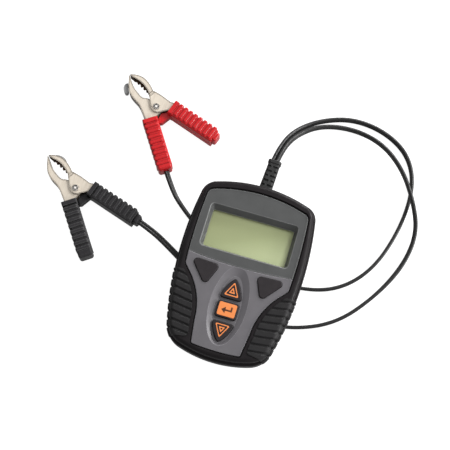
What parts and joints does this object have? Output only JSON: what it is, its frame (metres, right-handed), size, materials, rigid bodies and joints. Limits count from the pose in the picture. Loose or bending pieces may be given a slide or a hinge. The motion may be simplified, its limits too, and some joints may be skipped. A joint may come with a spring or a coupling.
{
  "type": "battery tester",
  "caption": "Handheld 12 V battery tester with a display, arrow and enter keys, and two leads ending in spring clamps.",
  "frame": {"origin": "bottom centre of the tester's case, between its feet, on the table", "axes": "+X to the right of the display, +Y towards the end where the leads come out, +Z out of the display"},
  "size_m": [0.2937, 0.2214, 0.0346],
  "materials": {
    "case_plastic": "fine texture",
    "bezel_plastic": "satin",
    "panel_plastic": "fine texture",
    "grip_rubber": "moulded ribs",
    "relief_rubber": "moulded",
    "foot_rubber": "moulded",
    "window_clear": "polished",
    "lcd_face": "smooth",
    "black_frame": "smooth",
    "backlight_white": "smooth",
    "board_green": "solder mask",
    "membrane_silicone": "smooth",
    "switch_black": "smooth",
    "ceramic_white": "fired ceramic",
    "relay_black": "smooth",
    "capacitor_sleeve": "satin",
    "chip_epoxy": "moulded",
    "screw_steel": "zinc plated",
    "wire_insulation": "extruded",
    "key_orange": "printed",
    "key_dark": "fine texture",
    "lead_rubber": "extruded",
    "jaw_steel": "nickel plated",
    "red_grip": "dipped vinyl",
    "black_grip": "dipped vinyl",
    "rivet_steel": "nickel plated",
    "spring_steel": "plated",
    "contact_copper": "oxidised copper",
    "clip_grey": "smooth",
    "terminal_tin": "tin plated"
  },
  "bodies": {
    "tester": {"front_cover": "case_plastic", "rear_cover": "case_plastic", "left_hand_grip": "grip_rubber", "right_hand_grip": "grip_rubber", "strain_relief": "relief_rubber", "display_bezel": "bezel_plastic", "keypad_panel": "panel_plastic", "lcd_window": "window_clear", "lcd_glass": "lcd_face", "lcd_frame": "black_frame", "backlight": "backlight_white", "main_board": "board_green", "keypad_membrane": "membrane_silicone", "tactile_switches": "switch_black", "load_resistors": "ceramic_white", "relay": "relay_black", "capacitors": "capacitor_sleeve", "beeper": "switch_black", "processor_chip": "chip_epoxy", "driver_chips": "chip_epoxy", "case_screws": "screw_steel", "board_screws": "screw_steel", "rubber_feet": "foot_rubber", "inner_wires": "wire_insulation", "red_lead": "lead_rubber", "black_lead": "lead_rubber", "red_left_half": "jaw_steel", "red_left_grip": "red_grip", "red_rivet": "rivet_steel", "red_spring": "spring_steel", "red_contact_clip": "clip_grey", "red_crimp_terminal": "terminal_tin", "black_right_half": "jaw_steel", "black_right_grip": "black_grip", "black_rivet": "rivet_steel", "black_spring": "spring_steel", "black_toothed_contact": "contact_copper", "black_contact_clip": "clip_grey", "black_crimp_terminal": "terminal_tin"},
    "key_left": {"key_left": "key_dark"},
    "key_right": {"key_right": "key_dark"},
    "key_up": {"key_up": "key_dark"},
    "key_enter": {"key_enter": "key_orange"},
    "key_down": {"key_down": "key_dark"},
    "red_moving_half": {"red_right_half": "jaw_steel", "red_right_grip": "red_grip", "red_toothed_contact": "contact_copper"},
    "black_moving_half": {"black_left_half": "jaw_steel", "black_left_grip": "black_grip"}
  },
  "joints": [
    {"name": "key_left_press", "type": "slide", "parent": "tester", "child": "key_left", "axis": [0, 0, -1], "range_m": [0, 0.0008], "stiffness_N_per_m": 400},
    {"name": "key_right_press", "type": "slide", "parent": "tester", "child": "key_right", "axis": [0, 0, -1], "range_m": [0, 0.0008], "stiffness_N_per_m": 400},
    {"name": "key_up_press", "type": "slide", "parent": "tester", "child": "key_up", "axis": [0, 0, -1], "range_m": [0, 0.0008], "stiffness_N_per_m": 400},
    {"name": "key_enter_press", "type": "slide", "parent": "tester", "child": "key_enter", "axis": [0, 0, -1], "range_m": [0, 0.0008], "stiffness_N_per_m": 400},
    {"name": "key_down_press", "type": "slide", "parent": "tester", "child": "key_down", "axis": [0, 0, -1], "range_m": [0, 0.0008], "stiffness_N_per_m": 400},
    {"name": "red_clamp_hinge", "type": "hinge", "parent": "tester", "child": "red_moving_half", "pos_m": [-0.1007, 0.1133, 0.0075], "axis": [0, 0, -1], "range_deg": [0, 25], "stiffness_Nm_per_rad": 0.1, "springref_deg": -2.86},
    {"name": "black_clamp_hinge", "type": "hinge", "parent": "tester", "child": "black_moving_half", "pos_m": [-0.1409, 0.0314, 0.0075], "axis": [0, 0, 1], "range_deg": [0, 25], "stiffness_Nm_per_rad": 0.1, "springref_deg": -2.86}
  ]
}
